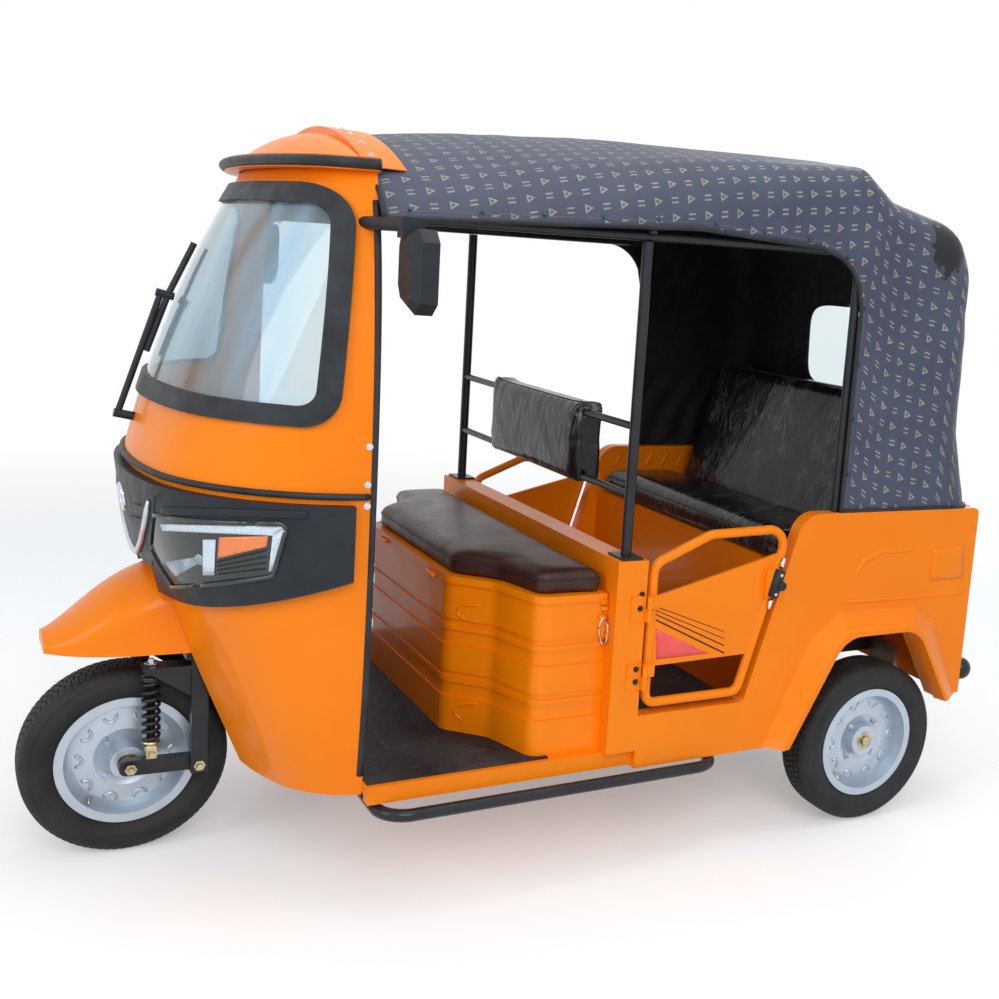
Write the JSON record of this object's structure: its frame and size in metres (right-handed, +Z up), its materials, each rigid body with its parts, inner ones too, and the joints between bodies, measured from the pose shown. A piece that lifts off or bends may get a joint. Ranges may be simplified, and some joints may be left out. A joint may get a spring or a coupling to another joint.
{
  "type": "auto rickshaw",
  "caption": "Three-wheeled passenger auto rickshaw with a glazed front cowl, vinyl canopy, tube-framed half doors, driver's seat box and rear bench.",
  "frame": {"origin": "on the ground under the middle of the bounding box", "axes": "+X forward, +Y to the vehicle's left, +Z up"},
  "size_m": [2.6609, 1.564, 1.9758],
  "materials": {
    "orange_paint": "gloss",
    "black_steel": "satin",
    "black_plastic": "matte",
    "lamp_lens": "gloss",
    "tail_lens": "gloss",
    "rubber_seal": "satin",
    "rubber_mat": "matte",
    "window_glass": "gloss",
    "clear_vinyl": "gloss",
    "canopy_vinyl": "satin",
    "seat_vinyl": "satin",
    "brown_vinyl": "satin",
    "zinc_steel": "satin",
    "rim_silver": "satin",
    "tyre_rubber": "matte",
    "battery_case": "matte"
  },
  "bodies": {
    "chassis": {"chassis_frame": "black_steel", "floor_pan": "orange_paint", "floor_mats": "rubber_mat", "cowl_lower": "orange_paint", "cowl_upper": "orange_paint", "windscreen": "window_glass", "windscreen_seal": "rubber_seal", "wiper": "black_plastic", "roof_cap": "orange_paint", "lamp_band": "black_plastic", "headlamps": "lamp_lens", "front_fender": "orange_paint", "toe_board": "black_steel", "dashboard": "black_plastic", "bulkhead": "orange_paint", "seat_box": "orange_paint", "battery_pack": "battery_case", "seat_base": "orange_paint", "rear_side_left": "orange_paint", "rear_side_right": "orange_paint", "rear_panel": "orange_paint", "tail_lamps": "tail_lens", "rear_bumper": "black_steel", "side_steps": "black_steel", "passenger_cushion": "seat_vinyl", "passenger_backrest": "seat_vinyl", "partition_frame": "black_steel", "driver_backrest": "seat_vinyl", "canopy_frame": "black_steel", "canopy": "canopy_vinyl", "rear_window": "clear_vinyl", "rear_axle": "black_steel", "leaf_springs": "zinc_steel", "mirrors": "black_plastic", "tow_eye": "black_steel"},
    "door_left": {"door_left": "orange_paint"},
    "door_right": {"door_right": "orange_paint"},
    "seat_lid": {"seat_lid": "orange_paint", "driver_cushion": "brown_vinyl"},
    "fork": {"fork": "black_steel", "link_arms": "black_steel", "shock_absorbers": "black_steel", "handlebar": "black_steel"},
    "wheel_front": {"rim_front": "rim_silver", "tyre_front": "tyre_rubber"},
    "wheel_rear_left": {"rim_left": "rim_silver", "tyre_left": "tyre_rubber"},
    "wheel_rear_right": {"rim_right": "rim_silver", "tyre_right": "tyre_rubber"}
  },
  "joints": [
    {"name": "steering", "type": "hinge", "parent": "chassis", "child": "fork", "pos_m": [0.86872, 0, 0.7], "axis": [-0.342, 0, 0.9397], "range_deg": [-38, 38]},
    {"name": "front_wheel_spin", "type": "hinge", "parent": "fork", "child": "wheel_front", "pos_m": [1.0835, 0, 0.247], "axis": [0, 1, 0], "continuous": true},
    {"name": "rear_left_spin", "type": "hinge", "parent": "chassis", "child": "wheel_rear_left", "pos_m": [-0.8805, 0.6, 0.247], "axis": [0, 1, 0], "continuous": true},
    {"name": "rear_right_spin", "type": "hinge", "parent": "chassis", "child": "wheel_rear_right", "pos_m": [-0.8805, -0.6, 0.247], "axis": [0, 1, 0], "continuous": true},
    {"name": "door_left_swing", "type": "hinge", "parent": "chassis", "child": "door_left", "pos_m": [-0.0785, 0.662, 0.63], "axis": [0, 0, -1], "range_deg": [0, 95]},
    {"name": "door_right_swing", "type": "hinge", "parent": "chassis", "child": "door_right", "pos_m": [-0.0785, -0.662, 0.63], "axis": [0, 0, 1], "range_deg": [0, 95]},
    {"name": "seat_lid_tilt", "type": "hinge", "parent": "chassis", "child": "seat_lid", "pos_m": [0.3595, 0, 0.742], "axis": [0, 1, 0], "range_deg": [0, 70]}
  ]
}
